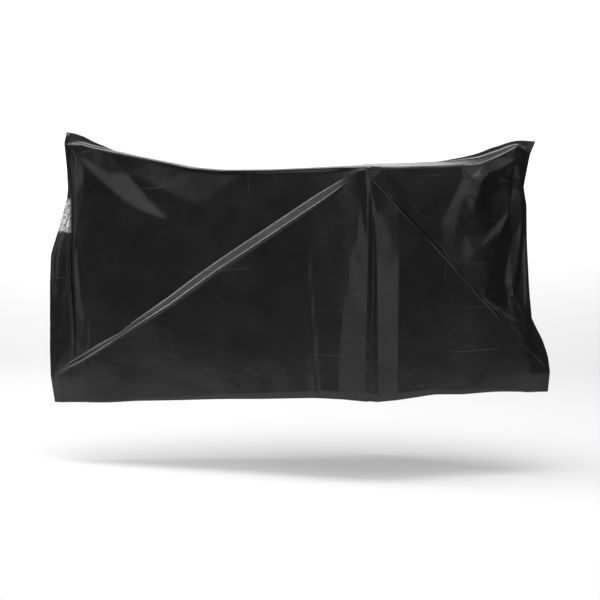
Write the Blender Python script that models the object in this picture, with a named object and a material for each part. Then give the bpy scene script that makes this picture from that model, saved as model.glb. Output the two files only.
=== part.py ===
"""Bicycle cover: one bag of thin plastic film, draped over a bicycle that is left out.

The bag is one sheet, folded along its top, welded to itself down both ends and open at its hem.
It hangs from two handlebar grips, a saddle and the two wheels, whose places give it its shape: a
diagonal crease runs from each grip to the low end of each wheel, the top dips between the grips
and two raised ears at the ends, and the film below the diagonals hangs straight down.

Frame: metres, Z up, X along the bicycle with the front wheel at +X, and Y across it with the near
side at -Y. The origin is under the middle of the top, midway between the two grips.
"""

import bpy
import numpy as np

# Driving sizes, in metres.
SHEET = 0.002          # thickness of the solid film
SHOULDER_RADIUS = 0.012  # how far the bend between side and top reaches down the side and inwards
REAR_END_X = -1.190    # the rear weld at wheel height
FRONT_END_X = 0.663    # the front weld at wheel height
REAR_REACH = 0.34      # how far along the bag the rear outline's shape is felt
FRONT_REACH = 0.30     # the same for the front outline
FAR_SIDE_SHARE = 0.97  # width of the far half against the near half

# Cross-sections from the rear weld to the front weld. Every section is the same chain of points:
# hem, diagonal crease, shoulder and crest. The y columns are distances from the middle plane.
SECTION_COLUMNS = ("x", "crest_z", "shoulder_y", "shoulder_z", "crease_y", "crease_z", "hem_y", "hem_z")
SECTIONS = (
    (REAR_END_X, 0.111, 0.000, 0.098, 0.000, -0.797, 0.000, -0.899),
    (-1.178, 0.109, 0.018, 0.096, 0.020, -0.790, 0.021, -0.898),
    (-1.160, 0.107, 0.025, 0.089, 0.032, -0.780, 0.034, -0.897),
    (-1.110, 0.097, 0.030, 0.076, 0.046, -0.745, 0.048, -0.892),
    (-1.000, 0.064, 0.040, 0.052, 0.060, -0.677, 0.062, -0.887),
    (-0.885, 0.042, 0.052, 0.035, 0.085, -0.612, 0.082, -0.877),
    (-0.715, 0.004, 0.092, 0.003, 0.117, -0.496, 0.112, -0.865),
    (-0.530, -0.010, 0.132, -0.019, 0.155, -0.364, 0.151, -0.850),
    (-0.350, -0.012, 0.176, -0.016, 0.192, -0.240, 0.192, -0.839),
    (-0.170, -0.006, 0.226, -0.008, 0.235, -0.118, 0.238, -0.824),
    (0.000, 0.003, 0.270, 0.000, 0.272, -0.022, 0.285, -0.830),
    (0.110, 0.005, 0.224, -0.003, 0.238, -0.137, 0.240, -0.821),
    (0.250, 0.014, 0.156, -0.001, 0.178, -0.287, 0.182, -0.811),
    (0.390, 0.046, 0.106, 0.008, 0.128, -0.444, 0.127, -0.816),
    (0.460, 0.066, 0.076, 0.026, 0.098, -0.522, 0.098, -0.815),
    (0.560, 0.088, 0.042, 0.066, 0.058, -0.620, 0.062, -0.817),
    (0.625, 0.090, 0.029, 0.073, 0.036, -0.704, 0.040, -0.820),
    (0.650, 0.088, 0.019, 0.075, 0.022, -0.732, 0.024, -0.821),
    (FRONT_END_X, 0.087, 0.000, 0.074, 0.000, -0.750, 0.000, -0.822),
)

# Outlines of the two welded ends, top to hem.
END_COLUMNS = ("z", "x")
REAR_OUTLINE = (
    (0.111, -1.115), (0.074, -1.126), (-0.029, -1.116), (-0.117, -1.113), (-0.162, -1.125),
    (-0.229, -1.144), (-0.341, -1.180), (-0.454, -1.189), (-0.702, -1.190), (-0.899, -1.167),
)
FRONT_OUTLINE = (
    (0.087, 0.601), (0.040, 0.582), (-0.078, 0.561), (-0.141, 0.573), (-0.277, 0.577),
    (-0.451, 0.592), (-0.561, 0.605), (-0.627, 0.638), (-0.751, 0.663), (-0.822, 0.657),
)

# Straight folds, drawn in the side view. A rise stands outwards and a negative one is a trough.
# "above" and "below" are the fold's half widths on its upper (or left) and lower (or right) side.
FOLD_COLUMNS = ("start_x", "start_z", "end_x", "end_z", "start_rise", "end_rise", "above", "below")
NEAR_FOLDS = (
    (-1.100, 0.000, -1.082, -0.820, -0.012, -0.010, 0.035, 0.030),  # trough by the rear wheel
    (-1.050, -0.050, -1.030, -0.950, 0.004, 0.006, 0.035, 0.060),   # ridge in front of it
    (-1.080, 0.030, -0.700, -0.215, 0.005, 0.014, 0.120, 0.050),    # long pleat from the rear ear
    (-0.880, -0.030, -0.600, -0.190, -0.004, -0.010, 0.060, 0.060), # hollow above that pleat
    (-1.120, -0.760, -0.060, -0.040, 0.007, 0.007, 0.035, 0.035),   # ridge of the rear diagonal
    (0.080, -0.090, 0.640, -0.740, 0.004, 0.005, 0.030, 0.030),     # ridge of the front diagonal
    (0.032, -0.060, 0.039, -0.900, -0.010, -0.022, 0.045, 0.040),   # gutter below the grip
    (-0.035, -0.060, -0.045, -0.900, 0.004, 0.010, 0.060, 0.050),   # ridge left of the gutter
    (0.085, -0.160, 0.095, -0.900, 0.004, 0.012, 0.050, 0.070),     # ridge right of the gutter
    (0.090, -0.060, 0.280, -0.240, -0.008, -0.014, 0.060, 0.050),   # trough beside the diagonal
    (0.440, 0.020, 0.300, -0.210, 0.014, 0.008, 0.060, 0.060),      # ridge below the front ear
    (0.270, -0.230, 0.400, -0.270, 0.008, 0.010, 0.070, 0.035),     # roll at its foot
    (0.400, -0.270, 0.540, -0.140, 0.010, 0.006, 0.060, 0.040),     # roll's rising end
    (0.498, -0.100, 0.500, -0.480, -0.014, -0.014, 0.035, 0.030),   # trough by the front wheel
    (0.540, 0.020, 0.535, -0.430, 0.008, 0.010, 0.030, 0.030),      # ridge in front of it
    (0.430, -0.470, 0.640, -0.600, 0.004, 0.012, 0.045, 0.050),     # short ridge to the front end
)
FAR_FOLDS = (
    (-1.110, -0.050, -1.095, -0.950, -0.010, -0.008, 0.035, 0.040),
    (-1.080, 0.040, -0.560, -0.330, 0.004, 0.012, 0.100, 0.060),
    (-1.120, -0.760, -0.060, -0.040, 0.006, 0.007, 0.035, 0.035),
    (0.080, -0.090, 0.640, -0.740, 0.004, 0.005, 0.030, 0.030),
    (0.000, -0.060, 0.010, -0.900, -0.006, -0.018, 0.060, 0.060),
    (-0.090, -0.200, -0.110, -0.900, 0.004, 0.010, 0.070, 0.060),
    (0.100, -0.250, 0.120, -0.900, 0.004, 0.010, 0.070, 0.070),
    (0.560, 0.060, 0.260, -0.330, 0.004, 0.010, 0.070, 0.070),
    (0.520, -0.050, 0.530, -0.560, -0.010, -0.010, 0.040, 0.040),
)
FOLD_END_SHARE = 0.15  # share of a fold's length over which each of its ends dies away
CREST_POWER = 1.3      # the top climbs to its crest a little more steeply towards the middle
SHARPEST_COSINE = 0.28  # limits how far the inner face is set back behind a sharp edge

# Columns of the mesh: runs of equal steps along x, closer where the film bends most.
RUN_COLUMNS = ("end_x", "steps")
COLUMN_RUNS = (
    (-1.178, 1), (-1.160, 1), (-1.010, 6), (-0.100, 13), (0.130, 8), (0.460, 6), (0.625, 6),
    (0.650, 1), (FRONT_END_X, 1),
)
# Rows of the mesh on one side, as shares of each stretch of a section from the hem up. They close
# up towards the diagonal crease.
LOWER_SHARES = (0.0, 0.18, 0.36, 0.54, 0.70, 0.84, 0.94, 1.0)
UPPER_SHARES = (0.04, 0.11, 0.22, 0.36, 0.52, 0.68, 0.84, 1.0)
BEND_SHARES = (0.5, 1.0)
TOP_SHARES = (0.45, 1.0)

FILM_BLACK = (0.012, 0.012, 0.013, 1.0)
FILM_ROUGHNESS = 0.34


def table(columns, rows):
    """The rows of a table as a dictionary of arrays, one for each named column."""
    return dict(zip(columns, np.array(rows, dtype=float).T))


def ease(share):
    """A smooth step: 0 up to share 0, 1 from share 1 on, level at both ends."""
    share = np.clip(share, 0.0, 1.0)
    return share * share * (3.0 - 2.0 * share)


def column_places():
    """The x of every mesh column, run after run, from the rear weld to the front weld."""
    places = [REAR_END_X]
    for end_x, steps in COLUMN_RUNS:
        places.extend(np.linspace(places[-1], end_x, steps + 1)[1:])
    return np.array(places)


def ends_followed(x, z):
    """Moves x so that the first and last columns lie on the two outlines, and those near them follow."""
    rear = table(END_COLUMNS, REAR_OUTLINE[::-1])
    front = table(END_COLUMNS, FRONT_OUTLINE[::-1])
    rear_shift = np.interp(z, rear["z"], rear["x"]) - REAR_END_X
    front_shift = np.interp(z, front["z"], front["x"]) - FRONT_END_X
    rear_weight = 1.0 - ease((x - REAR_END_X) / REAR_REACH)
    front_weight = 1.0 - ease((FRONT_END_X - x) / FRONT_REACH)
    return x + rear_weight * rear_shift + front_weight * front_shift


def relief(x, z, rows):
    """How far the folds stand out at (x, z): each is a straight ridge or trough whose height falls
    smoothly to nothing at its half width on either side and over the ends of its length."""
    total = np.zeros_like(x)
    folds = table(FOLD_COLUMNS, rows)
    for i in range(len(rows)):
        along_x = folds["end_x"][i] - folds["start_x"][i]
        along_z = folds["end_z"][i] - folds["start_z"][i]
        length = np.hypot(along_x, along_z)
        dx = x - folds["start_x"][i]
        dz = z - folds["start_z"][i]
        share = (dx * along_x + dz * along_z) / length**2
        side = (dz * along_x - dx * along_z) / length
        if along_x + 0.3 * along_z < 0.0:
            side = -side
        width = np.where(side > 0.0, folds["above"][i], folds["below"][i])
        rise = folds["start_rise"][i] + (folds["end_rise"][i] - folds["start_rise"][i]) * share
        ends = ease(share / FOLD_END_SHARE) * ease((1.0 - share) / FOLD_END_SHARE)
        total += rise * ends * ease(1.0 - np.abs(side) / width)
    return total


def side_grid(fold_rows, width_share):
    """One half of the bag, from hem to crest, as arrays of x, distance from the middle, and z.

    A column is a section's chain of points with its shoulder rounded by a quadratic curve. The folds
    stand out of the side and die away over the last few centimetres below the shoulder."""
    sections = table(SECTION_COLUMNS, SECTIONS)
    nominal_x = column_places()
    at = {name: np.interp(nominal_x, sections["x"], sections[name]) for name in SECTION_COLUMNS}
    inwards = np.minimum(SHOULDER_RADIUS, 0.5 * at["shoulder_y"])
    low_z = at["shoulder_z"] - np.minimum(SHOULDER_RADIUS, 0.4 * (at["shoulder_z"] - at["crease_z"]))
    low_y = at["shoulder_y"] + 0.03 * SHOULDER_RADIUS * (at["shoulder_y"] > 0.0)
    top_y = at["shoulder_y"] - inwards
    top_z = at["shoulder_z"] + 0.1 * (at["crest_z"] - at["shoulder_z"])

    lower = np.array(LOWER_SHARES)[:, None]
    upper = np.array(UPPER_SHARES)[:, None]
    bend = np.array(BEND_SHARES)[:, None]
    over = np.array(TOP_SHARES)[:, None]
    y = np.concatenate([
        at["hem_y"] + lower * (at["crease_y"] - at["hem_y"]),
        at["crease_y"] + upper * (low_y - at["crease_y"]),
        (1 - bend)**2 * low_y + 2 * bend * (1 - bend) * at["shoulder_y"] + bend**2 * top_y,
        top_y * (1.0 - over),
    ])
    z = np.concatenate([
        at["hem_z"] + lower * (at["crease_z"] - at["hem_z"]),
        at["crease_z"] + upper * (low_z - at["crease_z"]),
        (1 - bend)**2 * low_z + 2 * bend * (1 - bend) * at["shoulder_z"] + bend**2 * top_z,
        top_z + over**CREST_POWER * (at["crest_z"] - top_z),
    ])
    x = ends_followed(np.broadcast_to(nominal_x, z.shape), z)
    fade = ease((at["shoulder_z"] - z) / 0.04) * ease(at["shoulder_y"] / 0.012)
    y = y * width_share + fade * relief(x, z, fold_rows)
    return x, y, z


def bag_points():
    """The outer face of the whole bag: near hem, crest and far hem, as an array of rows of points."""
    near_x, near_y, near_z = side_grid(NEAR_FOLDS, 1.0)
    far_x, far_y, far_z = side_grid(FAR_FOLDS, FAR_SIDE_SHARE)
    near = np.stack([near_x, -near_y, near_z], axis=-1)
    far = np.stack([far_x, far_y, far_z], axis=-1)
    return np.concatenate([near, far[-2::-1]])


def point_numbers(rows, columns):
    """The number of every grid point. The welded ends share points: far rows take the near ones."""
    numbers = np.arange(rows * columns).reshape(rows, columns)
    crest = rows // 2
    for end in (0, -1):
        numbers[crest + 1:, end] = numbers[:crest, end][::-1]
    return numbers


def triangles_of(numbers):
    """Two triangles between each two neighbouring rows and columns, facing outwards. Each pair is
    split from the corner nearest its own ear, so that no triangle joins a weld to the crest."""
    first_left, first_right = numbers[:-1, :-1], numbers[:-1, 1:]
    next_left, next_right = numbers[1:, :-1], numbers[1:, 1:]
    rows, columns = first_left.shape
    near = np.arange(rows)[:, None] < rows // 2
    front = np.arange(columns)[None, :] >= columns // 2
    rising = near == front
    falling_split = [first_left, first_right, next_left], [first_right, next_right, next_left]
    rising_split = [first_left, first_right, next_right], [first_left, next_right, next_left]
    halves = [
        np.where(rising[..., None], np.stack(one, axis=-1), np.stack(other, axis=-1)).reshape(-1, 3)
        for one, other in zip(rising_split, falling_split)
    ]
    return np.concatenate(halves)


def summed_at_points(triangles, values, count):
    """The sum, at each point, of a value that every triangle round it has."""
    total = np.zeros((count,) + values.shape[1:])
    for corner in range(3):
        np.add.at(total, triangles[:, corner], values)
    return total


def inner_face(points, triangles):
    """The points moved inwards along their mean normals, so far that the sheet keeps its thickness
    round a bend: by the thickness over the mean cosine between that normal and the faces' own.
    Points of the crest and the welds stay in the middle plane."""
    corners = points[triangles]
    across = np.cross(corners[:, 1] - corners[:, 0], corners[:, 2] - corners[:, 0])
    areas = np.linalg.norm(across, axis=1)
    mean = summed_at_points(triangles, across, len(points))
    mean[np.abs(points[:, 1]) < 1e-9, 1] = 0.0
    mean /= np.linalg.norm(mean, axis=1, keepdims=True)
    along = np.zeros(len(points))
    for corner in range(3):
        cosines = np.einsum("ij,ij->i", mean[triangles[:, corner]], across)
        np.add.at(along, triangles[:, corner], cosines)
    along /= summed_at_points(triangles, areas, len(points))
    return points - mean * (SHEET / np.maximum(along, SHARPEST_COSINE))[:, None]


def film_material():
    """Glossy black plastic film."""
    material = bpy.data.materials.new("black_film")
    material.use_nodes = True
    shader = material.node_tree.nodes["Principled BSDF"]
    shader.inputs["Base Color"].default_value = FILM_BLACK
    shader.inputs["Roughness"].default_value = FILM_ROUGHNESS
    shader.inputs["Metallic"].default_value = 0.0
    return material


def build_cover():
    """The bag as one closed solid: its outer face, an inner face one sheet thickness inside it, and
    a strip that joins the two along the open hem."""
    grid = bag_points()
    rows, columns = grid.shape[:2]
    numbers = point_numbers(rows, columns)
    used, place = np.unique(numbers, return_inverse=True)
    numbers = place.reshape(rows, columns)
    outer = grid.reshape(-1, 3)[used]
    outside = triangles_of(numbers)
    inner = inner_face(outer, outside)
    hem = np.concatenate([numbers[0], numbers[-1][-2::-1]])
    start, end = hem[:-1], hem[1:]
    rim = np.concatenate([
        np.stack([start, start + len(outer), end], axis=-1),
        np.stack([end, start + len(outer), end + len(outer)], axis=-1),
    ])
    faces = np.concatenate([outside, outside[:, ::-1] + len(outer), rim])
    mesh = bpy.data.meshes.new("cover")
    mesh.from_pydata(np.concatenate([outer, inner]).tolist(), [], faces.tolist())
    mesh.materials.append(film_material())
    mesh.shade_smooth()
    mesh.update()
    cover = bpy.data.objects.new("cover", mesh)
    bpy.context.scene.collection.objects.link(cover)
    return cover


for old in list(bpy.data.objects):
    bpy.data.objects.remove(old)
build_cover()
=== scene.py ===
"""Bicycle cover of black plastic film, as it hangs over a bicycle that is left out.

The film is one surface on a grid. Its columns run along the bicycle and its rows run from the near
hem, over the crest, to the far hem. The first and last columns are the two welded ends.
"""

import bpy
import numpy as np
from mathutils import Matrix, Vector
from mathutils.geometry import delaunay_2d_cdt


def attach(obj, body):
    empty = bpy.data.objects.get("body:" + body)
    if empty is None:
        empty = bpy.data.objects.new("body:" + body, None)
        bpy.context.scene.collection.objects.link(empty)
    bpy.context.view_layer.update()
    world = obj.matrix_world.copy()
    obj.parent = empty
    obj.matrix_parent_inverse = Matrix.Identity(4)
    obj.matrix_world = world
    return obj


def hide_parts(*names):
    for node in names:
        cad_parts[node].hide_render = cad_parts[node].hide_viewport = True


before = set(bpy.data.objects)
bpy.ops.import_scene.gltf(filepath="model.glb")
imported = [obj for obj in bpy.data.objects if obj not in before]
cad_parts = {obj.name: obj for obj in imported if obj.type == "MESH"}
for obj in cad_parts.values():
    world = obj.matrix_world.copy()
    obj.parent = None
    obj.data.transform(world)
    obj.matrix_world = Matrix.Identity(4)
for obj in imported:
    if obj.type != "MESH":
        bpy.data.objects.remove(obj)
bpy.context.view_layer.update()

# ---- Sizes, in metres ---------------------------------------------------------------------------

FLAT_SHEET = (2.00, 2.20)  # the film before it is folded along its top
FILM_THICKNESS = 0.0010
SHARPEST_COSINE = 0.35     # bounds the offset of the inner face where the film bends sharply
SHOULDER_RADIUS = 0.010    # the bend between a side and the top
BEND_RISE_SHARE = 0.1      # where it ends, of the climb from the shoulder to the pinch's foot
CREST_POWER = 1.6          # the top climbs to its crest more steeply towards the middle
REAR_END_X = -1.190
FRONT_END_X = 0.663
REAR_REACH = 0.34          # how far along the bag the rear outline's shape is felt
FRONT_REACH = 0.30
WELD_LENGTH = 0.012        # over it, the exact sizes at a weld give way to rounded ones
CORNER_REACH = 0.008       # how far from a corner of a tabled curve its rounding is felt
READING_PLACES = (-1, -0.5, 0, 0.5, 1)  # shares of that reach
FAR_SIDE_SHARE = 0.97      # of the near side's distances from the middle plane
FAR_SHOULDER_DROP = 0.006
NEAREST_SHARE = 0.15       # no trough brings the film nearer to the middle plane than this share
GROUND_Z = -1.125

# Limits on the parts of a cross-section where the bag is thin or low.
BEND_WIDTH_SHARE = 0.5     # the bend's most, of the shoulder's distance from the middle plane
BEND_HEIGHT_SHARE = 0.4    # and of the height from the diagonal crease to the shoulder
FOOT_WIDTH_SHARE = 0.35    # the pinch's foot's most, of the shoulder's distance
MARGIN_SHARE = 0.3         # the margin's most, of the height from the diagonal band to the bend
BAND_GAP = 0.002           # the band's upper edge stays this far below the bend

# Where folds, facets and the band stand out in full, and where they are gone.
FADE_EDGE = 0.002          # gone from this height over the shoulder on
FADE_HEIGHT = 0.022        # and in full this much lower
FADE_WIDTH = 0.012         # in full where the shoulder is this far from the middle plane
CLEAR_START = 1.2          # folds and facets at the rear start this many half bands from the crease
CLEAR_LENGTH = 2.0         # and are there in full this many further on

# Cross-sections from the rear weld to the front weld: hem, diagonal crease, shoulder and crest.
# The y columns are distances from the middle plane. pinch is the height of the upstanding pinch
# along the crest. band_up and band_down are the heights, above and below the diagonal crease, of
# the two edges of the band that follows it.
SECTION_COLUMNS = ("x", "crest_z", "pinch", "shoulder_y", "shoulder_z", "crease_y", "crease_z",
                   "hem_y", "hem_z", "band_up", "band_down")
SECTIONS = (
    (REAR_END_X, 0.111, 0.040, 0.000, 0.066, 0.000, -0.797, 0.000, -0.899, 0.003, 0.003),
    (-1.178, 0.110, 0.039, 0.004, 0.067, 0.005, -0.795, 0.006, -0.898, 0.003, 0.003),
    (-1.160, 0.108, 0.036, 0.012, 0.069, 0.017, -0.789, 0.017, -0.897, 0.005, 0.005),
    (-1.110, 0.095, 0.023, 0.028, 0.069, 0.034, -0.752, 0.034, -0.892, 0.010, 0.009),
    (-1.060, 0.077, 0.015, 0.034, 0.059, 0.048, -0.724, 0.048, -0.889, 0.011, 0.011),
    (-1.000, 0.060, 0.007, 0.036, 0.050, 0.060, -0.684, 0.062, -0.887, 0.011, 0.015),
    (-0.950, 0.045, 0.000, 0.041, 0.043, 0.070, -0.656, 0.071, -0.884, 0.010, 0.010),
    (-0.905, 0.038, 0.000, 0.048, 0.037, 0.080, -0.629, 0.080, -0.880, 0.007, 0.007),
    (-0.850, 0.025, 0.000, 0.058, 0.028, 0.090, -0.587, 0.087, -0.874, 0.011, 0.012),
    (-0.715, -0.001, 0.000, 0.092, 0.003, 0.117, -0.496, 0.112, -0.865, 0.016, 0.017),
    (-0.640, -0.016, 0.000, 0.108, -0.012, 0.132, -0.440, 0.128, -0.859, 0.018, 0.018),
    (-0.530, -0.023, 0.000, 0.132, -0.020, 0.155, -0.360, 0.151, -0.850, 0.018, 0.018),
    (-0.350, -0.021, 0.000, 0.176, -0.017, 0.192, -0.239, 0.192, -0.839, 0.018, 0.019),
    (-0.170, -0.013, 0.000, 0.226, -0.008, 0.235, -0.118, 0.240, -0.824, 0.018, 0.018),
    (-0.075, -0.007, 0.000, 0.247, -0.003, 0.254, -0.056, 0.262, -0.824, 0.012, 0.012),
    (0.000, 0.003, 0.000, 0.266, 0.000, 0.268, -0.016, 0.277, -0.830, 0.004, 0.004),
    (0.012, 0.003, 0.000, 0.270, 0.000, 0.271, -0.029, 0.280, -0.831, 0.005, 0.005),
    (0.050, 0.004, 0.000, 0.250, -0.002, 0.258, -0.072, 0.278, -0.832, 0.006, 0.006),
    (0.125, 0.006, 0.000, 0.217, -0.003, 0.236, -0.153, 0.250, -0.824, 0.006, 0.006),
    (0.250, 0.012, 0.001, 0.156, 0.000, 0.178, -0.287, 0.184, -0.813, 0.006, 0.006),
    (0.300, 0.021, 0.007, 0.135, 0.003, 0.158, -0.344, 0.160, -0.815, 0.006, 0.006),
    (0.350, 0.031, 0.009, 0.112, 0.005, 0.138, -0.399, 0.138, -0.818, 0.006, 0.006),
    (0.400, 0.044, 0.015, 0.096, 0.008, 0.122, -0.456, 0.122, -0.815, 0.006, 0.006),
    (0.460, 0.063, 0.018, 0.072, 0.024, 0.098, -0.504, 0.098, -0.813, 0.006, 0.006),
    (0.500, 0.071, 0.017, 0.058, 0.036, 0.082, -0.537, 0.080, -0.814, 0.006, 0.006),
    (0.530, 0.079, 0.016, 0.049, 0.045, 0.070, -0.566, 0.066, -0.816, 0.006, 0.006),
    (0.560, 0.086, 0.014, 0.041, 0.057, 0.058, -0.603, 0.053, -0.818, 0.006, 0.006),
    (0.590, 0.090, 0.013, 0.034, 0.070, 0.048, -0.650, 0.043, -0.821, 0.006, 0.006),
    (0.625, 0.090, 0.027, 0.018, 0.060, 0.024, -0.698, 0.022, -0.822, 0.005, 0.005),
    (0.650, 0.088, 0.034, 0.006, 0.051, 0.008, -0.730, 0.009, -0.823, 0.004, 0.004),
    (FRONT_END_X, 0.087, 0.036, 0.000, 0.049, 0.000, -0.750, 0.000, -0.824, 0.003, 0.003),
)

# Outlines of the two welded ends, top to hem.
END_COLUMNS = ("z", "x")
REAR_OUTLINE = (
    (0.111, -1.115), (0.074, -1.126), (-0.029, -1.116), (-0.117, -1.113), (-0.162, -1.125),
    (-0.229, -1.144), (-0.341, -1.180), (-0.454, -1.185), (-0.702, -1.188), (-0.800, -1.186),
    (-0.899, -1.171),
)
FRONT_OUTLINE = (
    (0.087, 0.601), (0.040, 0.582), (-0.078, 0.561), (-0.141, 0.573), (-0.277, 0.577),
    (-0.451, 0.589), (-0.561, 0.601), (-0.627, 0.638), (-0.690, 0.661), (-0.751, 0.670),
    (-0.822, 0.664),
)

# Folds, drawn in the side view as arcs from start to end whose middle stands "bow" to the upper or
# left side. A rise stands outwards, a negative one is a trough. "above" and "below" are the half
# widths on the upper (or left) and the lower (or right) side at the end of the fold, and
# "start_share" is their share at its start. "crisp" is 0 for a rounded fold and 1 for a sharp one.
FOLD_COLUMNS = ("start_x", "start_z", "end_x", "end_z", "bow", "start_rise", "end_rise",
                "above", "below", "start_share", "crisp")
FOLD_END_SHARE = 0.12  # share of a fold's length over which each of its ends dies away
UPRIGHT_SLOPE = 0.3    # a fold that goes along by less than this for each metre down is upright
NEAR_FOLDS = (
    # The rear end: two thin ridges down to the hem.
    (-1.037, -0.560, -1.022, -0.960, 0.000, 0.002, 0.002, 0.006, 0.006, 1.0, 0.8),
    (-1.097, -0.700, -1.094, -0.960, 0.000, 0.0015, 0.002, 0.006, 0.006, 1.0, 0.8),
    # A thin ridge down to the hem between the diagonals.
    (-0.212, -0.270, -0.158, -0.960, 0.000, 0.0035, 0.0060, 0.010, 0.012, 0.8, 0.9),
    # The front end: a wide ridge beside the diagonal, and a thin one that comes down to it.
    (0.400, -0.452, 0.600, -0.590, 0.004, 0.007, 0.010, 0.030, 0.020, 0.7, 0.9),
    (0.520, -0.440, 0.592, -0.580, 0.000, 0.006, 0.006, 0.012, 0.006, 1.0, 0.9),
)
FAR_FOLDS = (
    (-1.110, -0.050, -1.095, -0.950, 0.010, -0.010, -0.008, 0.030, 0.030, 0.8, 0.5),
    (-1.085, 0.040, -0.560, -0.330, -0.020, 0.004, 0.010, 0.080, 0.050, 0.3, 0.7),
    (-0.930, 0.010, -0.520, -0.180, 0.010, -0.003, -0.008, 0.080, 0.060, 0.3, 0.7),
    (0.000, -0.040, 0.010, -0.960, 0.004, -0.004, -0.016, 0.030, 0.030, 0.5, 0.6),
    (-0.070, -0.100, -0.105, -0.960, 0.000, 0.003, 0.009, 0.040, 0.045, 0.5, 0.6),
    (0.070, -0.160, 0.112, -0.960, 0.000, 0.003, 0.009, 0.045, 0.040, 0.5, 0.6),
    (0.560, 0.050, 0.240, -0.340, 0.012, 0.004, 0.009, 0.060, 0.050, 0.4, 0.7),
    (0.470, -0.060, 0.300, -0.420, 0.010, -0.004, -0.008, 0.050, 0.050, 0.5, 0.7),
    (0.515, -0.050, 0.528, -0.560, 0.004, -0.010, -0.008, 0.026, 0.026, 0.8, 0.6),
    (-0.420, -0.420, -0.380, -0.960, 0.008, 0.002, 0.006, 0.020, 0.030, 0.6, 0.6),
)

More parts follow.
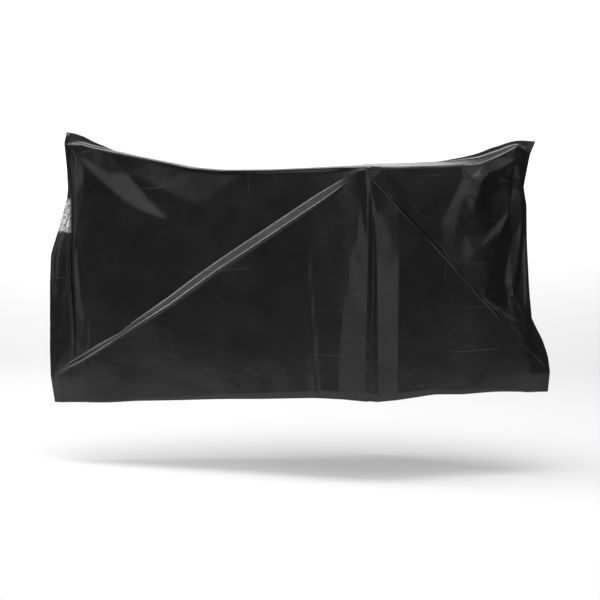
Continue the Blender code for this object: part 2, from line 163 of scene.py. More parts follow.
# Flat facets between creases, in the side view: the corners where creases meet, with how far each
# stands out, and the creases, each a chain of corners. A corner on no crease still divides a facet.
CORNER_COLUMNS = ("x", "z", "rise")
NEAR_CORNERS = {
    # The edge of the creased parts, level with the side.
    "top1": (-1.100, 0.056, 0.000), "top2": (-0.950, 0.030, 0.000), "top3": (-0.800, 0.005, 0.000),
    "top4": (-0.640, -0.028, 0.000), "top5": (-0.450, -0.040, 0.000), "top6": (-0.100, -0.020, 0.000),
    "top7": (0.060, -0.015, 0.000), "top8": (0.200, -0.012, 0.000), "top9": (0.330, -0.008, 0.000),
    "top10": (0.409, 0.002, 0.000), "top11": (0.473, 0.028, 0.000), "top12": (0.530, 0.066, 0.000),
    "low1": (-0.950, -0.360, 0.000), "low2": (-0.780, -0.380, 0.000), "low3": (-0.500, -0.290, 0.000),
    "low4": (-0.400, -0.150, 0.000),
    # The rear end: flap, channel, and the strip beside it.
    "out1": (-1.220, -0.250, 0.000), "out2": (-1.220, -0.465, 0.000), "out3": (-1.220, -0.760, 0.000),
    "flap1": (-1.168, -0.465, 0.000), "flap2": (-1.150, -0.530, -0.003), "flap3": (-1.132, -0.640, -0.004),
    "lip1": (-1.126, 0.030, 0.000), "lip2": (-1.112, -0.120, 0.000), "lip3": (-1.101, -0.200, 0.002),
    "lip4": (-1.106, -0.300, 0.004), "lip5": (-1.110, -0.400, 0.007), "lip6": (-1.097, -0.585, 0.004),
    "lip7": (-1.095, -0.740, 0.000),
    "deep1": (-1.116, 0.020, -0.012), "deep2": (-1.104, -0.110, -0.014), "deep3": (-1.097, -0.200, -0.013),
    "deep4": (-1.102, -0.300, -0.010), "deep5": (-1.105, -0.400, -0.009), "deep6": (-1.092, -0.585, -0.006),
    "deep7": (-1.090, -0.740, 0.000),
    "rise1": (-1.092, -0.030, -0.002), "rise2": (-1.088, -0.120, -0.003), "rise3": (-1.086, -0.200, -0.003),
    "rise4": (-1.087, -0.320, 0.004), "rise5": (-1.084, -0.420, 0.008), "rise6": (-1.078, -0.560, 0.007),
    "rise7": (-1.078, -0.720, 0.000),
    "side2": (-1.020, -0.120, 0.002), "side3": (-1.020, -0.210, 0.002), "side4": (-1.075, -0.340, 0.001),
    "side5": (-1.060, -0.480, 0.001), "side6": (-1.045, -0.590, 0.000), "side7": (-1.040, -0.700, 0.000),
    # The fan of pleats from the rear ear.
    "fan0": (-1.094, 0.045, 0.000), "fan1": (-1.070, 0.009, 0.004), "fan2": (-1.019, -0.034, 0.009),
    "fan3": (-0.967, -0.078, 0.012), "fan4": (-0.908, -0.121, 0.015), "fan5": (-0.860, -0.157, 0.016),
    "fan6": (-0.795, -0.182, 0.013), "fan7": (-0.722, -0.201, 0.008),
    "inner1": (-1.045, 0.020, 0.001), "inner2": (-0.994, -0.012, 0.001), "inner3": (-0.950, -0.040, 0.002),
    "hollow0": (-0.878, -0.038, -0.005), "hollow1": (-0.835, -0.090, -0.005),
    "hollow2": (-0.790, -0.137, -0.001), "hollow3": (-0.745, -0.180, 0.004),
    "split1": (-0.866, -0.095, 0.004), "split2": (-0.848, -0.160, 0.015),
    "ridge1": (-0.785, -0.078, 0.006), "ridge2": (-0.680, -0.124, 0.011), "ridge3": (-0.600, -0.150, 0.009),
    # The middle: the left strip, the gutter's wall and floor, and the right strip.
    "west1": (-0.014, -0.150, 0.000), "west2": (-0.022, -0.296, 0.000), "west3": (-0.046, -0.322, 0.000),
    "west4": (-0.050, -0.460, 0.000), "west5": (-0.066, -0.490, 0.000), "west6": (-0.080, -0.650, 0.000),
    "west7": (-0.088, -0.860, 0.000),
    "wall0": (0.012, -0.060, 0.002), "wall1": (0.012, -0.150, 0.003), "wall2": (0.013, -0.296, -0.009),
    "wall3": (0.013, -0.322, -0.011), "wall4": (0.012, -0.460, -0.014), "wall5": (0.011, -0.490, -0.014),
    "wall6": (0.007, -0.650, -0.017), "wall7": (0.007, -0.860, -0.018),
    "floor1": (0.026, -0.150, -0.003), "floor2": (0.030, -0.296, -0.019), "floor3": (0.030, -0.322, -0.021),
    "floor4": (0.030, -0.460, -0.024), "floor5": (0.030, -0.490, -0.025), "floor6": (0.028, -0.650, -0.030),
    "floor7": (0.028, -0.860, -0.032),
    "bank1": (0.034, -0.170, -0.001), "bank2": (0.044, -0.296, -0.009), "bank3": (0.046, -0.322, -0.012),
    "bank4": (0.048, -0.460, -0.014), "bank5": (0.048, -0.490, -0.015), "bank6": (0.052, -0.650, -0.018),
    "bank7": (0.055, -0.860, -0.019),
    "east1": (0.048, -0.150, 0.000), "east2": (0.070, -0.215, 0.000), "east3": (0.100, -0.318, 0.000),
    "east4": (0.120, -0.330, 0.000), "east5": (0.120, -0.480, 0.000), "east6": (0.120, -0.650, 0.000),
    "east7": (0.122, -0.860, 0.000),
    # Above the front diagonal: the hollow, the light slope, and the smile-shaped band.
    "diag1": (0.120, -0.150, 0.000), "diag2": (0.220, -0.262, 0.000), "diag3": (0.320, -0.372, 0.000),
    "diag4": (0.420, -0.470, 0.000), "diag5": (0.500, -0.545, 0.000),
    "dip1": (0.084, -0.096, -0.006), "dip2": (0.172, -0.190, -0.010), "dip3": (0.246, -0.268, -0.010),
    "brow1": (0.134, -0.086, -0.002), "brow2": (0.205, -0.157, 0.003),
    "west_quad": (0.268, -0.200, 0.000), "north_quad": (0.340, -0.044, 0.000),
    "spine1": (0.348, -0.110, 0.013), "spine2": (0.330, -0.165, 0.013), "spine3": (0.325, -0.215, 0.009),
    "edge0": (0.371, -0.041, 0.008), "edge1": (0.409, -0.054, 0.018), "edge2": (0.395, -0.110, 0.019),
    "edge3": (0.378, -0.170, 0.015), "edge4": (0.352, -0.236, 0.006),
    "ear1": (0.405, -0.033, 0.012), "ear2": (0.438, -0.023, 0.013), "ear3": (0.484, -0.008, 0.013),
    "ear4": (0.533, 0.017, 0.009), "ear5": (0.562, 0.038, 0.006),
    "shade1": (0.450, -0.100, 0.000), "shade2": (0.490, -0.080, -0.002), "shade3": (0.440, -0.165, 0.001),
    "shade4": (0.475, -0.150, 0.000),
    "smile1": (0.378, -0.240, 0.004), "smile2": (0.450, -0.220, 0.002), "smile3": (0.512, -0.160, -0.004),
    "chin0": (0.270, -0.282, -0.008), "chin1": (0.315, -0.296, -0.002), "chin2": (0.398, -0.300, 0.009),
    "chin3": (0.480, -0.242, 0.012), "chin4": (0.500, -0.190, 0.004),
    "cheek1": (0.440, -0.400, 0.004), "cheek2": (0.455, -0.330, 0.004),
    # The front end: hollow, raised strip, its lip and the step down to the weld.
    "pit1": (0.524, -0.050, -0.007), "pit2": (0.521, -0.270, -0.009), "pit3": (0.494, -0.420, -0.010),
    "pit4": (0.516, -0.480, -0.010),
    "ledge1": (0.550, -0.060, 0.003), "ledge2": (0.563, -0.177, 0.006), "ledge3": (0.556, -0.270, 0.007),
    "ledge4": (0.536, -0.420, 0.006),
    "step1": (0.569, -0.100, -0.002), "step2": (0.570, -0.177, -0.004), "step3": (0.563, -0.275, -0.007),
    "step4": (0.546, -0.420, -0.009), "step5": (0.575, -0.500, -0.004),
}
NEAR_CREASES = (
    "top1 top2 top3 top4 top5", "side3 low1 low2 low3 low4 top5", "side2 side3",
    "lip1 lip2 lip3 lip4 lip5 lip6 lip7", "deep1 deep2 deep3 deep4 deep5 deep6 deep7",
    "rise1 rise2 rise3 rise4 rise5 rise6 rise7", "rise4 side4 side5 side6 side7",
    "out2 flap1 flap2 flap3 lip7",
    "fan0 fan1 fan2 fan3 fan4 fan5 split2 fan6 fan7", "fan0 inner1 inner2 inner3 hollow0",
    "hollow0 hollow1 hollow2 hollow3 fan7", "hollow0 split1 split2", "hollow0 ridge1 ridge2 ridge3",
    "west1 west2 west3 west4 west5 west6 west7", "wall0 wall1 wall2 wall3 wall4 wall5 wall6 wall7",
    "wall0 floor1 floor2 floor3 floor4 floor5 floor6 floor7",
    "wall0 bank1 bank2 bank3 bank4 bank5 bank6 bank7",
    "east1 east2 east3 east4 east5 east6 east7", "wall0 west1", "bank1 east1",
    "east1 diag1 diag2 diag3 diag4 diag5",
    "dip1 dip2 dip3", "brow1 brow2 west_quad", "top7 top8 top9 top10 top11 top12",
    "west_quad north_quad edge0 ear1 ear2 ear3 ear4 ear5", "edge0 spine1 spine2 spine3",
    "edge1 edge2 edge3 edge4", "ear1 edge1", "west_quad spine3 edge4",
    "edge4 smile1 smile2 smile3", "chin0 chin1 chin2 chin3 chin4 smile3",
    "pit1 smile3 pit2 pit3 pit4", "ledge1 ledge2 ledge3 ledge4 pit4",
    "step1 step2 step3 step4 step5",
    "shade1 shade3", "shade2 shade4", "cheek1 cheek2",
)

# The crinkled pocket at the rear end, on the flat sheet: where it starts to fade and where it is
# gone, along the bag from the rear weld, and up from the near hem at its foot and at its top.
# Its crinkles are bump; its pale patches are a painted highlight.
POCKET_SLANT = 0.34  # it narrows by this much for each metre up
POCKET_SIDE = (0.270, 0.284)
POCKET_FOOT = (0.655, 0.637)
POCKET_TOP = (0.755, 0.780)

# Columns of the grid: runs of equal steps along x, closer where the film bends most. Each run is
# the x where it ends and its number of steps.
COLUMN_RUNS = (
    (-1.178, 3), (-1.010, 42), (-0.600, 56), (-0.250, 24), (-0.090, 14), (0.006, 16), (0.060, 20),
    (0.140, 12), (0.300, 20), (0.440, 22), (0.600, 44), (0.650, 10), (FRONT_END_X, 3),
)

# Steps between the rows of a side: from the hem up to the diagonal band, across the band, on to the
# bend, round the bend, and over the top. The far side has every second row.
SIDE_ROWS = (25, 20, 49, 6, 6)
BAND_MARGIN = 0.0025       # the rows next to the band stand this far off its edges
UPPER_CROWDING = 1.35      # over 1, the upper rows stand closer towards the shoulder

# The rear diagonal's band in cross-section, where it is widest: across runs from -1 at its lower
# edge to 1 at its upper edge, and a narrower band is the same, made smaller.
BAND_COLUMNS = ("across", "rise")
BAND_PROFILE = (
    (-1.14, 0.0030), (-1.00, 0.0048), (-0.70, 0.0002), (0.70, -0.0081), (1.00, -0.0127),
)
WIDE_HALF_BAND = 0.018     # half of its height there
FADE_ABOVE_BAND = 14.0     # half bands over which what lies above the band falls to 1/e
FADE_BELOW_BAND = 25.0
REAR_BAND_START_X = -1.192
REAR_BAND_GROWTH = 0.03    # length over which it grows from nothing
REAR_BAND_DECAY = 0.12     # and over which it dies away, up to x = 0

# The front diagonal's lip: its rise, the length over which it grows from x = 0 on, where it ends,
# and the length over which it dies away before that.
FRONT_LIP_RISE = 0.0042
FRONT_LIP_GROWTH = 0.05
FRONT_LIP_END_X = 0.655
FRONT_LIP_DECAY = 0.06

# Rows of the pinch along the crest: shares of its foot's half width, and of its height.
PINCH_SHARES = ((0.66, 0.34), (0.33, 0.67), (0.12, 0.90), (0.0, 1.0))
PINCH_LEAN = 0.125         # half width of the pinch's foot for each metre of its height
UNPINCHED_WIDTH = 0.003    # and its half width where the pinch has no height
PINCH_START = 0.012        # the height from which on only the lean counts

ON_MIDDLE_PLANE = 1e-9     # a point this near the middle plane lies on it
TINY = 1e-12               # the least that a sum is divided by
MERGE_DISTANCE = 1e-6      # corners nearer together than this would count as one
WHOLE_HULL = 0             # the kind of triangulation that fills the corners' whole outline

# The camera looks at the middle of the frame. Angles are in degrees.
CAMERA_TARGET = Vector((-0.248, 0.0, -0.500))
CAMERA_AZIMUTH = 5.0
CAMERA_ELEVATION = 6.0
CAMERA_ROLL = 0.3
CAMERA_DISTANCE = 6.0
METRES_ACROSS_FRAME = 2.211  # width of what the frame takes in, at the target
SENSOR_WIDTH = 36.0          # millimetres


# ---- The film as a surface ----------------------------------------------------------------------

def table(columns, rows):
    """The rows of a table as a dictionary of arrays, one for each named column."""
    return dict(zip(columns, np.array(rows, dtype=float).T))


def ease(share):
    """A smooth step: 0 up to share 0, 1 from share 1 on, level at both ends."""
    share = np.clip(share, 0.0, 1.0)
    return share * share * (3.0 - 2.0 * share)


def column_places():
    """The x of every grid column, run after run, from the rear weld to the front weld."""
    places = [REAR_END_X]
    for end_x, steps in COLUMN_RUNS:
        places.extend(np.linspace(places[-1], end_x, steps + 1)[1:])
    return np.array(places)


def softened(x, known_x, known):
    """Linear interpolation with its corners rounded: the mean of five readings, spread evenly from
    one reach before x to one reach after it."""
    readings = [np.interp(x + CORNER_REACH * k, known_x, known) for k in READING_PLACES]
    return np.mean(readings, axis=0)


def rounded(start, middle, end, share):
    """A curve that leaves start towards middle and comes to end from there: the three, weighted by
    the squares and the doubled product of share and what is left of it."""
    return (1 - share)**2 * start + 2 * share * (1 - share) * middle + share**2 * end


def ends_followed(x, z):
    """Moves x so that the first and last columns lie on the two outlines, and those near follow."""
    rear = table(END_COLUMNS, REAR_OUTLINE[::-1])
    front = table(END_COLUMNS, FRONT_OUTLINE[::-1])
    rear_shift = softened(z, rear["z"], rear["x"]) - REAR_END_X
    front_shift = softened(z, front["z"], front["x"]) - FRONT_END_X
    rear_weight = 1.0 - ease((x - REAR_END_X) / REAR_REACH)
    front_weight = 1.0 - ease((FRONT_END_X - x) / FRONT_REACH)
    return x + rear_weight * rear_shift + front_weight * front_shift


def relief(x, z, rows):
    """How far the folds stand out at (x, z). Each fold is an arc, whose bow is a parabola. Its
    height falls from the arc to nothing at its half width on either side, along a curve between a
    smooth step and a straight slope, and dies away over both ends."""
    total = np.zeros_like(x)
    folds = table(FOLD_COLUMNS, rows)
    for i in range(len(rows)):
        fold = {name: folds[name][i] for name in FOLD_COLUMNS}
        along_x = fold["end_x"] - fold["start_x"]
        along_z = fold["end_z"] - fold["start_z"]
        length = np.hypot(along_x, along_z)
        dx, dz = x - fold["start_x"], z - fold["start_z"]
        share = (dx * along_x + dz * along_z) / length**2
        side = (dz * along_x - dx * along_z) / length
        if along_x + UPRIGHT_SLOPE * along_z < 0.0:
            side = -side
        held = np.clip(share, 0.0, 1.0)
        side = side - 4.0 * fold["bow"] * held * (1.0 - held)
        width = np.where(side > 0.0, fold["above"], fold["below"])
        width = width * (fold["start_share"] + (1.0 - fold["start_share"]) * held)
        near = np.clip(1.0 - np.abs(side) / width, 0.0, 1.0)
        profile = fold["crisp"] * near + (1.0 - fold["crisp"]) * ease(near)
        rise = fold["start_rise"] + (fold["end_rise"] - fold["start_rise"]) * held
        ends = ease(share / FOLD_END_SHARE) * ease((1.0 - share) / FOLD_END_SHARE)
        total += rise * ends * profile
    return total


def facets(x, z, corners, creases):
    """How far the flat facets stand out at (x, z). The creases divide the side into triangles, and
    inside each of them the rise is the mean of its corners' rises, weighted by nearness."""
    total = np.zeros_like(x)
    if not corners:
        return total
    names = list(corners)
    at = table(CORNER_COLUMNS, list(corners.values()))
    chains = [[names.index(name) for name in chain.split()] for chain in creases]
    lines = [pair for chain in chains for pair in zip(chain[:-1], chain[1:])]
    places = [Vector(place) for place in zip(at["x"], at["z"])]
    triangles = delaunay_2d_cdt(places, lines, [], WHOLE_HULL, MERGE_DISTANCE)[2]
    for a, b, c in triangles:
        side_bx, side_bz = at["x"][b] - at["x"][a], at["z"][b] - at["z"][a]
        side_cx, side_cz = at["x"][c] - at["x"][a], at["z"][c] - at["z"][a]
        dx, dz = x - at["x"][a], z - at["z"][a]
        twice_area = side_bx * side_cz - side_cx * side_bz
        b_share = (dx * side_cz - side_cx * dz) / twice_area
        c_share = (side_bx * dz - dx * side_bz) / twice_area
        a_share = 1.0 - b_share - c_share
        inside = (a_share >= 0.0) & (b_share >= 0.0) & (c_share >= 0.0)
        rise = a_share * at["rise"][a] + b_share * at["rise"][b] + c_share * at["rise"][c]
        total = np.where(inside, rise, total)
    return total


def side_grid(fold_rows, corners, creases, width_share, drop):
    """One half of the bag, from hem to crest, as arrays of x, distance from the middle, and z. Each
    section goes straight from the hem to the diagonal band, upright across it and straight on to
    the shoulder, bends inwards, and climbs over the top to the pinch. Folds, facets and the band's
    rise stand out from the side and die away at the shoulder. The shoulder sinks by drop, and what
    lies between it and the band or the crest sinks in proportion."""
    sections = table(SECTION_COLUMNS, SECTIONS)
    nominal_x = column_places()
    at = {name: softened(nominal_x, sections["x"], sections[name]) for name in SECTION_COLUMNS}
    closing = ease((nominal_x - REAR_END_X) / WELD_LENGTH)
    closing = closing * ease((FRONT_END_X - nominal_x) / WELD_LENGTH)
    for name in ("shoulder_y", "crease_y", "hem_y"):
        exact = np.interp(nominal_x, sections["x"], sections[name])
        at[name] = exact * (1.0 - closing) + at[name] * closing
    at["shoulder_z"] = at["shoulder_z"] - drop * closing
    inwards = np.minimum(SHOULDER_RADIUS, BEND_WIDTH_SHARE * at["shoulder_y"])
    foot_y = PINCH_LEAN * at["pinch"] + UNPINCHED_WIDTH * ease(1.0 - at["pinch"] / PINCH_START)
    foot_y = np.minimum(foot_y, FOOT_WIDTH_SHARE * at["shoulder_y"])
    foot_z = at["crest_z"] - at["pinch"]
    below = np.minimum(SHOULDER_RADIUS, BEND_HEIGHT_SHARE * (at["shoulder_z"] - at["crease_z"]))
    low_z = at["shoulder_z"] - below
    top_y = at["shoulder_y"] - inwards
    top_z = at["shoulder_z"] + BEND_RISE_SHARE * (foot_z - at["shoulder_z"])
    band_low = at["crease_z"] - at["band_down"]
    band_high = np.minimum(at["crease_z"] + at["band_up"], low_z - BAND_GAP)
    margin = np.minimum(BAND_MARGIN, MARGIN_SHARE * (low_z - band_high))

    lower, band, upper, bend, over = [np.linspace(0.0, 1.0, n + 1)[:, None] for n in SIDE_ROWS]
    bend, over = bend[1:], over[1:]
    upper = 1.0 - (1.0 - upper)**UPPER_CROWDING
    pinch_y, pinch_z = np.array(PINCH_SHARES).T[:, :, None]
    y = np.concatenate([
        at["hem_y"] + lower * (at["crease_y"] - at["hem_y"]),
        at["crease_y"] + 0.0 * band,
        at["crease_y"] + upper * (at["shoulder_y"] - at["crease_y"]),
        rounded(at["shoulder_y"], at["shoulder_y"], top_y, bend),
        top_y + over * (foot_y - top_y),
        pinch_y * foot_y,
    ])
    z = np.concatenate([
        at["hem_z"] + lower * (band_low - margin - at["hem_z"]),
        band_low + band * (band_high - band_low),
        band_high + margin + upper * (low_z - band_high - margin),
        rounded(low_z, at["shoulder_z"], top_z, bend),
        top_z + over**CREST_POWER * (foot_z - top_z),
        foot_z + pinch_z * at["pinch"],
    ])
    x = ends_followed(np.broadcast_to(nominal_x, z.shape), z)

    fade = ease((at["shoulder_z"] + FADE_EDGE - z) / FADE_HEIGHT)
    fade = fade * ease(at["shoulder_y"] / FADE_WIDTH)
    across = (z - at["crease_z"]) / np.where(z > at["crease_z"], at["band_up"], at["band_down"])
    half_band = 0.5 * (at["band_up"] + at["band_down"])
    clear = np.where(x < 0.0, ease((np.abs(across) - CLEAR_START) / CLEAR_LENGTH), 1.0)
    creased = relief(x, z, fold_rows) + facets(x, z, corners, creases)
    raised = y * width_share + fade * (clear * creased + diagonal_band(x, half_band, across))
    return x, np.maximum(raised, NEAREST_SHARE * y), z


def diagonal_band(x, half_band, across):
    """How far the band along the diagonals stands out. across is -1 at its lower edge, 0 on the
    crease and 1 at its upper edge, and half_band is half of its height. At the rear the rise is the
    tabled profile, made smaller with the band, and dies away exponentially beyond both edges. At
    the front it is one narrow lip, which falls in a straight line from the crease to either edge."""
    profile = table(BAND_COLUMNS, BAND_PROFILE)
    rear = np.interp(across, profile["across"], profile["rise"]) * half_band / WIDE_HALF_BAND
    rear = rear * np.where(across > 1.0, np.exp(-(across - 1.0) / FADE_ABOVE_BAND), 1.0)
    rear = rear * np.where(across < -1.0, np.exp((across + 1.0) / FADE_BELOW_BAND), 1.0)
    rear = rear * ease((x - REAR_BAND_START_X) / REAR_BAND_GROWTH) * ease(-x / REAR_BAND_DECAY)
    front_lip = np.clip(1.0 - np.abs(across), 0.0, 1.0)
    front = FRONT_LIP_RISE * front_lip * ease(x / FRONT_LIP_GROWTH)
    front = front * ease((FRONT_LIP_END_X - x) / FRONT_LIP_DECAY)
    return rear + front


def bag_points():
    """The outer face of the whole bag, as an array of rows of points from the near hem over the
    crest to the far hem, and the number of the crest's row."""
    near_x, near_y, near_z = side_grid(NEAR_FOLDS, NEAR_CORNERS, NEAR_CREASES, 1.0, 0.0)
    far_x, far_y, far_z = side_grid(FAR_FOLDS, {}, (), FAR_SIDE_SHARE, FAR_SHOULDER_DROP)
    near = np.stack([near_x, -near_y, near_z], axis=-1)
    far = np.stack([far_x, far_y, far_z], axis=-1)[::2]
    return np.concatenate([near, far[-2::-1]]), len(near) - 1


def point_numbers(rows, columns, crest):
    """The number of every grid point. At the welded ends the far side's rows take the near side's
    points, two by two, and thin triangles close the edge that skips a point."""
    numbers = np.arange(rows * columns).reshape(rows, columns)
    closing = []
    for end, order in ((0, (0, 1, 2)), (-1, (0, 2, 1))):
        numbers[crest + 1:, end] = numbers[:crest:2, end][::-1]
        edge = numbers[:crest + 1, end]
        threes = np.stack([edge[0:-2:2], edge[1:-1:2], edge[2::2]], axis=-1)
        closing.append(threes[:, order])
    return numbers, np.concatenate(closing)


def mean_normals(points, quads):
    """Unit normals at the points, which for points on the middle plane stay in that plane, and the
    mean cosine between each and the faces round it, weighted by their areas."""
    corners = points[quads]
    across = np.cross(corners[:, 2] - corners[:, 0], corners[:, 3] - corners[:, 1])
    total = np.zeros_like(points)
    for corner in range(4):
        np.add.at(total, quads[:, corner], across)
    total[np.abs(points[:, 1]) < ON_MIDDLE_PLANE, 1] = 0.0
    total /= np.maximum(np.linalg.norm(total, axis=1, keepdims=True), TINY)
    weight = np.zeros(len(points))
    along = np.zeros(len(points))
    areas = np.linalg.norm(across, axis=1)
    for corner in range(4):
        np.add.at(weight, quads[:, corner], areas)
        np.add.at(along, quads[:, corner], np.einsum("ij,ij->i", total[quads[:, corner]], across))
    return total, along / np.maximum(weight, TINY)


def sheet_places(grid, crest):
    """Where each grid point lies on the flat sheet, as shares of its width and length: along the
    bag by the mean length of the steps between columns, and round it by the length from the near
    hem or from the far hem, whichever side the point is on."""
    along = np.linalg.norm(np.diff(grid, axis=1), axis=2).mean(axis=0)
    u = np.concatenate([[0.0], np.cumsum(along)])
    round_ = np.linalg.norm(np.diff(grid, axis=0), axis=2)
    start = np.zeros((1, grid.shape[1]))
    near = np.concatenate([start, np.cumsum(round_[:crest], axis=0)])
    far = np.concatenate([start, np.cumsum(round_[crest:][::-1], axis=0)])
    v = np.concatenate([near, FLAT_SHEET[1] - far[-2::-1]])
    return np.broadcast_to(u / u[-1], v.shape), v / FLAT_SHEET[1]


def cells(values):
    """The four corners of every cell of a grid of values, one cell to a row."""
    corners = (values[:-1, :-1], values[:-1, 1:], values[1:, 1:], values[1:, :-1])
    return np.stack(corners, axis=-1).reshape(-1, 4)


def build_film(name, material):
    """The bag as one closed sheet: its outer face, an inner face one film thickness inside it, and
    a strip that joins the two along the open hem. Its UV map is the flat sheet."""
    grid, crest = bag_points()
    rows, columns = grid.shape[:2]
    numbers, closing = point_numbers(rows, columns, crest)
    used, place = np.unique(np.append(numbers, closing), return_inverse=True)
    numbers = place[:rows * columns].reshape(rows, columns)
    closing = place[rows * columns:].reshape(-1, 3)
    outer = grid.reshape(-1, 3)[used]
    quads = cells(numbers)
    normals, cosines = mean_normals(outer, quads)
    inner = outer - normals * (FILM_THICKNESS / np.maximum(cosines, SHARPEST_COSINE))[:, None]
    count = len(outer)
    hem = np.concatenate([numbers[0], numbers[-1][-2::-1]])
    start, end = hem[:-1], hem[1:]
    rim = np.stack([start, start + count, end + count, end], axis=-1)
    fours = np.concatenate([quads, quads[:, ::-1] + count, rim])
    threes = np.concatenate([closing, closing[:, ::-1] + count])
    mesh = bpy.data.meshes.new(name)
    mesh.from_pydata(np.concatenate([outer, inner]).tolist(), [], fours.tolist() + threes.tolist())

    layer = mesh.uv_layers.new(name="flat_sheet")
    places = []
    for values in sheet_places(grid, crest):
        corners = cells(values)
        blank = np.zeros(4 * len(rim) + 3 * len(threes))
        places.append(np.concatenate([corners.ravel(), corners[:, ::-1].ravel(), blank]))
    layer.data.foreach_set("uv", np.stack(places, axis=-1).astype(np.float32).ravel())
    smooth = np.ones(len(fours) + len(threes), dtype=bool)
    smooth[2 * len(quads):] = False
    mesh.polygons.foreach_set("use_smooth", smooth)
    mesh.materials.append(material)
    mesh.validate()
    mesh.update()
    film = bpy.data.objects.new(name, mesh)
    bpy.context.scene.collection.objects.link(film)
    return film


# ---- Materials ----------------------------------------------------------------------------------

# The film's noises: waves in a metre, how much detail they have, and how far they are twisted.
NOISES = {
    "slow": (5.0, 1.0, 0.0),
    "patches": (3.1, 2.0, 0.0),
    "medium": (9.0, 3.0, 0.5),
    "fine": (55.0, 3.0, 0.0),
    "crinkle": (95.0, 3.0, 1.2),
}
NOISE_MIDDLE = 0.5
NOISE_RANGE = (0.3, 0.7)   # between them the gloss and the grey go from one end to the other

# Heights of the film's small relief, in metres.
WAVE_HEIGHT = 0.0060
CRUMPLE_HEIGHT = 0.00013
GRAIN_HEIGHT = 0.00022
CREASE_HEIGHT = 0.00035
CRINKLE_HEIGHT = 0.0080
CRUMPLE_BREADTH = 0.09     # how far from its middle value the noise still makes a crumple

# The storage creases: level ones run along the bag, upright ones round it. Each kind comes to show
# between its two values of the noise called patches.
LEVEL_SPACING = 0.157
UPRIGHT_SPACING = 0.262
LEVEL_SHOWN = (0.50, 0.62)
UPRIGHT_SHOWN = (0.44, 0.34)
CREASE_HALF_WIDTH = 0.0035
CREASE_WANDER = 0.008

# The film's gloss, and how light it is: plain film; what a crease adds, partly the whitening of folded
# film and partly a painted highlight along it; and the painted highlight that the pocket adds.
ROUGHNESS = (0.22, 0.29)
FILM_SPECULAR = 0.45
FILM_GREY = (0.0035, 0.006)
CREASE_WHITENING_AND_HIGHLIGHT = 0.008
POCKET_HIGHLIGHT_GREY = 0.42
HIGHLIGHT_CRINKLE_RANGE = (0.36, 0.56)  # values of the crinkle between which the pocket's painted highlight comes in

WHITE = (1.0, 1.0, 1.0, 1.0)
STUDIO_PAINT = (0.30, 0.30, 0.30, 1.0)
STUDIO_ROUGHNESS = 0.9
FLOOR_GLOW = 0.36
WALL_GLOW = 0.85
GLOW_HEIGHT = 1.2          # the glow grows over this height above the floor


class Shading:
    """Adds nodes to a material one after another; each call returns what the new node gives out."""

    def __init__(self, material):
        self.nodes = material.node_tree.nodes
        self.links = material.node_tree.links

    def fill(self, socket, value):
        """Sets a socket to a value, or links it to what another node gives out."""
        if isinstance(value, bpy.types.NodeSocket):
            self.links.new(value, socket)
        else:
            socket.default_value = value

    def math(self, operation, *values):
        """One arithmetic operation on the values."""
        node = self.nodes.new("ShaderNodeMath")
        node.operation = operation
        for socket, value in zip(node.inputs, values):
            self.fill(socket, value)
        return node.outputs[0]

    def ramp(self, value, low, high, to_low=0.0, to_high=1.0):
        """A smooth step of value from low to high, giving to_low up to to_high."""
        node = self.nodes.new("ShaderNodeMapRange")
        node.interpolation_type = "SMOOTHSTEP"
        for name, number in (("Value", value), ("From Min", low), ("From Max", high),
                             ("To Min", to_low), ("To Max", to_high)):
            self.fill(node.inputs[name], number)
        return node.outputs[0]

    def noise(self, place, per_metre, detail, distortion):
        """Cloudy values about 0.5."""
        node = self.nodes.new("ShaderNodeTexNoise")
        self.fill(node.inputs["Vector"], place)
        node.inputs["Scale"].default_value = per_metre
        node.inputs["Detail"].default_value = detail
        node.inputs["Distortion"].default_value = distortion
        return node.outputs["Fac"]

    def combine(self, x, y, z=0.0):
        """Three values as one place or one colour."""
        node = self.nodes.new("ShaderNodeCombineXYZ")
        for socket, value in zip(node.inputs, (x, y, z)):
            self.fill(socket, value)
        return node.outputs[0]


def storage_creases(shading, distance, spacing, wander, shown):
    """Straight marks where the film lay folded in its packet: 1 on a line, 0 away from it. distance
    runs across the lines, wander bends them a little, and shown hides parts of them."""
    moved = shading.math("ADD", distance, wander)
    nearest = shading.math("PINGPONG", moved, 0.5 * spacing)
    line = shading.ramp(nearest, 0.0, CREASE_HALF_WIDTH, 1.0, 0.0)
    return shading.math("MULTIPLY", line, shown)


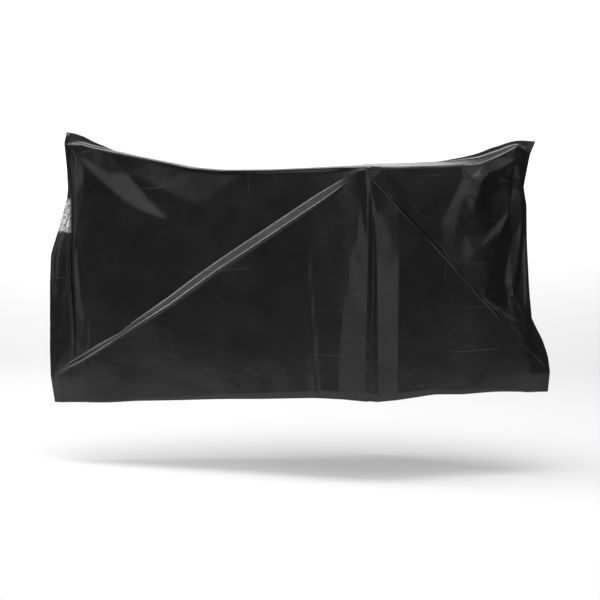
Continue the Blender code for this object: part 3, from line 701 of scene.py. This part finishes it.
def film_material():
    """Thin black film. Height is the sum of slow waves, crumples (thin ridges where a noise crosses
    its middle value), a fine grain, the storage creases and the crinkles of the pocket, all in
    metres. The film is paler on its creases, partly the whitening of folded film and partly a
    painted highlight. The pocket has a painted highlight: pale patches where its crinkles would
    catch the light. Its gloss varies in slow patches."""
    material = bpy.data.materials.new("black_film")
    material.use_nodes = True
    shading = Shading(material)
    shader = shading.nodes["Principled BSDF"]
    uv = shading.nodes.new("ShaderNodeTexCoord").outputs["UV"]
    split = shading.nodes.new("ShaderNodeSeparateXYZ")
    shading.fill(split.inputs[0], uv)
    along = shading.math("MULTIPLY", split.outputs[0], FLAT_SHEET[0])
    round_ = shading.math("MULTIPLY", split.outputs[1], FLAT_SHEET[1])
    place = shading.combine(along, round_)

    slow = shading.noise(place, *NOISES["slow"])
    patches = shading.noise(place, *NOISES["patches"])
    medium = shading.noise(place, *NOISES["medium"])
    fine = shading.noise(place, *NOISES["fine"])
    off_middle = shading.math("ABSOLUTE", shading.math("SUBTRACT", medium, NOISE_MIDDLE))
    crumple = shading.ramp(off_middle, 0.0, CRUMPLE_BREADTH, 1.0, 0.0)
    swing = shading.math("SUBTRACT", slow, NOISE_MIDDLE)
    wander = shading.math("MULTIPLY", swing, CREASE_WANDER)
    level_shown = shading.ramp(patches, *LEVEL_SHOWN)
    upright_shown = shading.ramp(patches, *UPRIGHT_SHOWN)
    level = storage_creases(shading, round_, LEVEL_SPACING, wander, level_shown)
    upright = storage_creases(shading, along, UPRIGHT_SPACING, wander, upright_shown)
    creases = shading.math("MAXIMUM", level, upright)

    height = shading.math("MULTIPLY", slow, WAVE_HEIGHT)
    height = shading.math("MULTIPLY_ADD", crumple, CRUMPLE_HEIGHT, height)
    height = shading.math("MULTIPLY_ADD", fine, GRAIN_HEIGHT, height)
    height = shading.math("MULTIPLY_ADD", creases, CREASE_HEIGHT, height)
    slanted = shading.math("MULTIPLY_ADD", round_, POCKET_SLANT, along)
    pocket = shading.ramp(slanted, *POCKET_SIDE, 1.0, 0.0)
    pocket = shading.math("MULTIPLY", pocket, shading.ramp(round_, *POCKET_FOOT, 1.0, 0.0))
    pocket = shading.math("MULTIPLY", pocket, shading.ramp(round_, *POCKET_TOP, 1.0, 0.0))
    crinkle = shading.noise(place, *NOISES["crinkle"])
    crinkled = shading.math("MULTIPLY", crinkle, pocket)
    height = shading.math("MULTIPLY_ADD", crinkled, CRINKLE_HEIGHT, height)
    bump = shading.nodes.new("ShaderNodeBump")
    bump.inputs["Strength"].default_value = 1.0
    bump.inputs["Distance"].default_value = 1.0
    shading.fill(bump.inputs["Height"], height)
    shading.fill(shader.inputs["Normal"], bump.outputs["Normal"])

    roughness = shading.ramp(patches, *NOISE_RANGE, *ROUGHNESS)
    shading.fill(shader.inputs["Roughness"], roughness)
    plain = shading.ramp(medium, *NOISE_RANGE, *FILM_GREY)
    # Paler creases: partly the whitening of folded film, partly a painted highlight along them.
    grey = shading.math("MULTIPLY_ADD", creases, CREASE_WHITENING_AND_HIGHLIGHT, plain)
    # Painted highlight: pale patches in the pocket where its crinkles would catch the light.
    painted_pocket_glints = shading.math("MULTIPLY", pocket, shading.ramp(crinkle, *HIGHLIGHT_CRINKLE_RANGE))
    grey = shading.math("MULTIPLY_ADD", painted_pocket_glints, POCKET_HIGHLIGHT_GREY, grey)
    shading.fill(shader.inputs["Base Color"], shading.combine(grey, grey, grey))
    shader.inputs["Specular IOR Level"].default_value = FILM_SPECULAR
    return material


def studio_material():
    """Matt pale paint that glows a little, more so up the backdrop than on the floor."""
    material = bpy.data.materials.new("studio_white")
    material.use_nodes = True
    shading = Shading(material)
    shader = shading.nodes["Principled BSDF"]
    shader.inputs["Base Color"].default_value = STUDIO_PAINT
    shader.inputs["Roughness"].default_value = STUDIO_ROUGHNESS
    shader.inputs["Specular IOR Level"].default_value = 0.0
    shader.inputs["Emission Color"].default_value = WHITE
    split = shading.nodes.new("ShaderNodeSeparateXYZ")
    shading.fill(split.inputs[0], shading.nodes.new("ShaderNodeTexCoord").outputs["Object"])
    top_z = GROUND_Z + GLOW_HEIGHT
    glow = shading.ramp(split.outputs[2], GROUND_Z, top_z, FLOOR_GLOW, WALL_GLOW)
    shading.fill(shader.inputs["Emission Strength"], glow)
    return material


# ---- Studio -------------------------------------------------------------------------------------

STUDIO_FRONT_Y = -1.8
STUDIO_BACK_Y = 2.6        # where the floor starts to curve up
STUDIO_RADIUS = 1.2
STUDIO_TOP_Z = 4.2
STUDIO_HALF_WIDTH = 2.5
STUDIO_BEND_POINTS = 13
AIR_STRENGTH = 0.05        # the little light that comes from all round

# Soft boxes: name, place, the point it faces, width and height, and brightness as seen from there.
LIGHTS = (
    ("front_box", (1.2, -12.0, -0.5), (0.3, 0.0, -0.4), (12.0, 4.6), 1.0),
    ("front_left_fill", (-5.6, -6.6, -0.4), (-0.8, 0.0, -0.4), (3.2, 3.6), 0.12),
    ("front_right_fill", (6.0, -4.4, -0.4), (0.3, 0.0, -0.4), (4.0, 3.4), 0.12),
    ("upper_bank", (1.0, -6.4, 3.9), (0.0, 0.0, -0.3), (20.0, 4.0), 0.9),
    ("high_bank", (-0.8, -3.6, 4.6), (-0.6, 0.0, -0.3), (8.0, 2.2), 3.2),
    ("overhead_box", (-0.5, -0.6, 3.6), (-0.4, 0.0, 0.0), (5.0, 2.4), 11.0),
    ("left_box", (-5.90, -1.55, -0.3), (-1.1, 0.0, -0.3), (1.2, 1.8), 1.1),
    ("left_high_box", (-5.2, -0.3, 2.1), (-0.8, -0.1, -0.5), (3.6, 2.5), 3.2),
    ("left_middle_box", (-4.9, -2.9, 2.2), (-0.4, -0.2, -0.3), (1.8, 1.5), 1.8),
    ("upper_left_box", (-3.4, 0.4, 3.4), (-1.1, 0.0, -0.2), (1.4, 1.4), 8.0),
    ("far_left_box", (-4.64, 0.78, 2.51), (-0.75, -0.12, -0.5), (1.75, 1.15), 8.0),
)


def build_studio():
    """A pale floor that curves up into a pale backdrop: a straight floor, a quarter circle and an
    upright wall, carried across the width of the studio."""
    turn = np.linspace(0.0, np.pi / 2, STUDIO_BEND_POINTS)
    bend_y = STUDIO_BACK_Y + STUDIO_RADIUS * np.sin(turn)
    bend_z = GROUND_Z + STUDIO_RADIUS * (1 - np.cos(turn))
    profile_y = np.concatenate([[STUDIO_FRONT_Y], bend_y, [STUDIO_BACK_Y + STUDIO_RADIUS]])
    profile_z = np.concatenate([[GROUND_Z], bend_z, [STUDIO_TOP_Z]])
    across = np.array([-STUDIO_HALF_WIDTH, STUDIO_HALF_WIDTH])
    points = np.stack([
        np.repeat(across, len(profile_y)),
        np.tile(profile_y, 2),
        np.tile(profile_z, 2),
    ], axis=-1)
    count = len(profile_y)
    low = np.arange(count - 1)
    faces = np.stack([low, low + count, low + count + 1, low + 1], axis=-1)
    mesh = bpy.data.meshes.new("studio_floor")
    mesh.from_pydata(points.tolist(), [], faces.tolist())
    mesh.materials.append(studio_material())
    mesh.shade_smooth()
    floor = bpy.data.objects.new("studio_floor", mesh)
    bpy.context.scene.collection.objects.link(floor)


def area_light(name, place, target, size, power):
    """A soft rectangular light at place, facing target, with its power in watts."""
    lamp = bpy.data.lights.new(name, "AREA")
    lamp.shape = "RECTANGLE"
    lamp.size, lamp.size_y = size
    lamp.energy = power
    light = bpy.data.objects.new(name, lamp)
    light.location = place
    light.rotation_euler = (Vector(target) - Vector(place)).to_track_quat("-Z", "Y").to_euler()
    bpy.context.scene.collection.objects.link(light)


def build_lights():
    """The soft boxes, each with a power of its brightness times pi times its area, and a little
    light from all round."""
    for name, place, target, size, brightness in LIGHTS:
        area_light(name, place, target, size, brightness * np.pi * size[0] * size[1])
    world = bpy.data.worlds.new("studio_air")
    world.use_nodes = True
    background = world.node_tree.nodes["Background"]
    background.inputs["Color"].default_value = WHITE
    background.inputs["Strength"].default_value = AIR_STRENGTH
    bpy.context.scene.world = world


def build_camera():
    """The camera stands at its distance from the target, turned by azimuth, elevation and roll."""
    azimuth, elevation, roll = np.radians([CAMERA_AZIMUTH, CAMERA_ELEVATION, CAMERA_ROLL])
    ahead = Vector((
        -np.sin(azimuth) * np.cos(elevation),
        np.cos(azimuth) * np.cos(elevation),
        -np.sin(elevation),
    ))
    level = Vector((np.cos(azimuth), np.sin(azimuth), 0.0))
    upright = level.cross(ahead)
    right = level * np.cos(roll) + upright * np.sin(roll)
    up = upright * np.cos(roll) - level * np.sin(roll)
    lens = bpy.data.cameras.new("camera")
    lens.sensor_width = SENSOR_WIDTH
    lens.lens = SENSOR_WIDTH * CAMERA_DISTANCE / METRES_ACROSS_FRAME
    camera = bpy.data.objects.new("camera", lens)
    turned = Matrix((right, up, -ahead)).transposed().to_4x4()
    camera.matrix_world = Matrix.Translation(CAMERA_TARGET - ahead * CAMERA_DISTANCE) @ turned
    bpy.context.scene.collection.objects.link(camera)
    bpy.context.scene.camera = camera


# ---- The scene ----------------------------------------------------------------------------------

build_camera()
build_studio()
build_lights()
bpy.context.scene.view_settings.view_transform = "Standard"
film = build_film("film_bag", film_material())
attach(film, "root")
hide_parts("cover")
